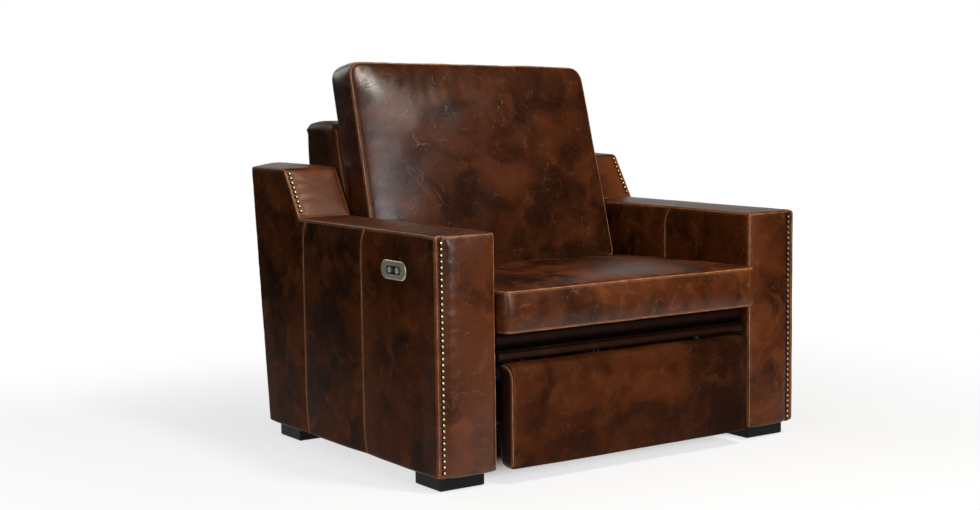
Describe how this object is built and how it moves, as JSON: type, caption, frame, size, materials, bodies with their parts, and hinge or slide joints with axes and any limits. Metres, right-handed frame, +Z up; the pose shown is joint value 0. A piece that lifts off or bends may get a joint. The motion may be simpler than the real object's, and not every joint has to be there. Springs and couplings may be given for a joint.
{
  "type": "recliner chair",
  "caption": "Power recliner in scuffed brown leather: square arms with stepped wings and nailhead edges, loose-look cushions, a closing footrest panel and an arm switch.",
  "frame": {"origin": "on the floor, under the middle of the chair's box, upright with the footrest closed", "axes": "+Z up, -Y the way the chair faces, +X to the right of someone who looks at its front"},
  "size_m": [1.0946, 0.9513, 0.976],
  "materials": {
    "leather": "waxed pull-up leather, scuffed",
    "frame_wood": "sawn",
    "padding": "foam and deck cloth",
    "nail_brass": "antique",
    "foot_black": "matte",
    "black_steel": "black enamel",
    "zinc_steel": "zinc plated",
    "nickel": "brushed nickel",
    "button_silver": "satin",
    "switch_black": "satin",
    "drive_plastic": "matte"
  },
  "bodies": {
    "base": {"arm_cover_left": "leather", "arm_cover_right": "leather", "arm_frame_left": "frame_wood", "arm_frame_right": "frame_wood", "arm_pad_left": "padding", "arm_pad_right": "padding", "nailheads_left": "nail_brass", "nailheads_right": "nail_brass", "foot_front_left": "foot_black", "foot_front_right": "foot_black", "foot_rear_left": "foot_black", "foot_rear_right": "foot_black", "base_plates": "black_steel", "base_bolts": "zinc_steel", "base_tubes": "black_steel", "base_pins": "zinc_steel", "rear_rail": "frame_wood", "power_inlet": "switch_black", "switch_bezel": "nickel", "switch_body": "switch_black"},
    "button_open": {"switch_button_open": "button_silver"},
    "button_close": {"switch_button_close": "button_silver"},
    "swing_front": {"swing_links_front": "black_steel"},
    "swing_rear": {"swing_links_rear": "black_steel"},
    "seat": {"seat_plates": "black_steel", "seat_frame": "frame_wood", "seat_springs": "zinc_steel", "seat_deck": "padding", "seat_front_cover": "leather", "seat_cushion": "leather", "seat_bolts": "zinc_steel", "seat_pins": "zinc_steel", "tube_bushes": "drive_plastic", "seat_tubes": "black_steel", "drive_rail": "black_steel", "drive_gearbox": "drive_plastic", "drive_motor": "drive_plastic", "drive_hangers": "black_steel"},
    "screw": {"drive_screw": "zinc_steel"},
    "nut": {"drive_nut": "drive_plastic"},
    "front_link": {"torque_tube": "black_steel", "torque_crank": "black_steel", "front_links": "black_steel", "front_link_pins": "zinc_steel"},
    "rear_link": {"rear_links": "black_steel"},
    "outer_link": {"outer_links": "black_steel", "outer_link_pins": "zinc_steel"},
    "inner_link": {"inner_links": "black_steel"},
    "footrest": {"footrest_brackets": "black_steel", "footrest_pins": "zinc_steel", "footrest_board": "frame_wood", "footrest_pad": "leather"},
    "back": {"back_frame": "frame_wood", "back_cover": "leather", "back_skirt": "leather", "back_brackets": "black_steel", "back_bolts": "zinc_steel", "back_cushion": "leather"}
  },
  "joints": [
    {"name": "button_open_press", "type": "slide", "parent": "base", "child": "button_open", "axis": [1, 0, 0], "range_m": [0, 0.0015], "stiffness_N_per_m": 1500},
    {"name": "button_close_press", "type": "slide", "parent": "base", "child": "button_close", "axis": [1, 0, 0], "range_m": [0, 0.0015], "stiffness_N_per_m": 1500},
    {"name": "seat_swing", "type": "hinge", "parent": "base", "child": "swing_front", "pos_m": [0, -0.15, 0.09], "axis": [1, 0, 0], "range_deg": [0, 40.5]},
    {"name": "seat_on_swing", "type": "hinge", "parent": "swing_front", "child": "seat", "pos_m": [0, -0.11238, 0.19337], "axis": [1, 0, 0], "range_deg": [-40.5, 0]},
    {"name": "rear_swing", "type": "hinge", "parent": "base", "child": "swing_rear", "pos_m": [0, 0.07, 0.09], "axis": [1, 0, 0], "range_deg": [0, 40.5]},
    {"name": "back_recline", "type": "hinge", "parent": "seat", "child": "back", "pos_m": [0, 0.1915, 0.33], "axis": [-1, 0, 0], "range_deg": [0, 42]},
    {"name": "footrest_extend", "type": "hinge", "parent": "seat", "child": "front_link", "pos_m": [0, -0.3183, 0.2761], "axis": [-1, 0, 0], "range_deg": [0, 84]},
    {"name": "rear_link_pivot", "type": "hinge", "parent": "seat", "child": "rear_link", "pos_m": [0, -0.2762, 0.2538], "axis": [-1, 0, 0], "range_deg": [0, 83.49]},
    {"name": "outer_link_pivot", "type": "hinge", "parent": "front_link", "child": "outer_link", "pos_m": [0, -0.286, 0.0957], "axis": [-1, 0, 0], "range_deg": [-103.82, 0]},
    {"name": "inner_link_pivot", "type": "hinge", "parent": "front_link", "child": "inner_link", "pos_m": [0, -0.2774, 0.048], "axis": [-1, 0, 0], "range_deg": [-103.4, 0]},
    {"name": "footrest_pivot", "type": "hinge", "parent": "outer_link", "child": "footrest", "pos_m": [0, -0.398, 0.2154], "axis": [-1, 0, 0], "range_deg": [0, 105.67]},
    {"name": "drive_nut_slide", "type": "slide", "parent": "seat", "child": "nut", "axis": [0, -1, 0], "range_m": [0, 0.07569]},
    {"name": "drive_screw_turn", "type": "hinge", "parent": "seat", "child": "screw", "pos_m": [0, -0.1765, 0.186], "axis": [0, 1, 0], "range_deg": [0, 3017.72]}
  ],
  "couplings": [
    {"joint": "seat_swing", "follows": "back_recline", "ratio": 0.95238},
    {"joint": "seat_on_swing", "follows": "back_recline", "ratio": -0.95238},
    {"joint": "rear_swing", "follows": "back_recline", "ratio": 0.95238},
    {"joint": "rear_link_pivot", "follows": "footrest_extend", "ratio": 0.988},
    {"joint": "outer_link_pivot", "follows": "footrest_extend", "ratio": -1.23},
    {"joint": "inner_link_pivot", "follows": "footrest_extend", "ratio": -1.225},
    {"joint": "footrest_pivot", "follows": "footrest_extend", "ratio": 1.252},
    {"joint": "drive_nut_slide", "follows": "footrest_extend", "m_per_rad": 0.051425},
    {"joint": "drive_screw_turn", "follows": "footrest_extend", "ratio": 35.901}
  ]
}
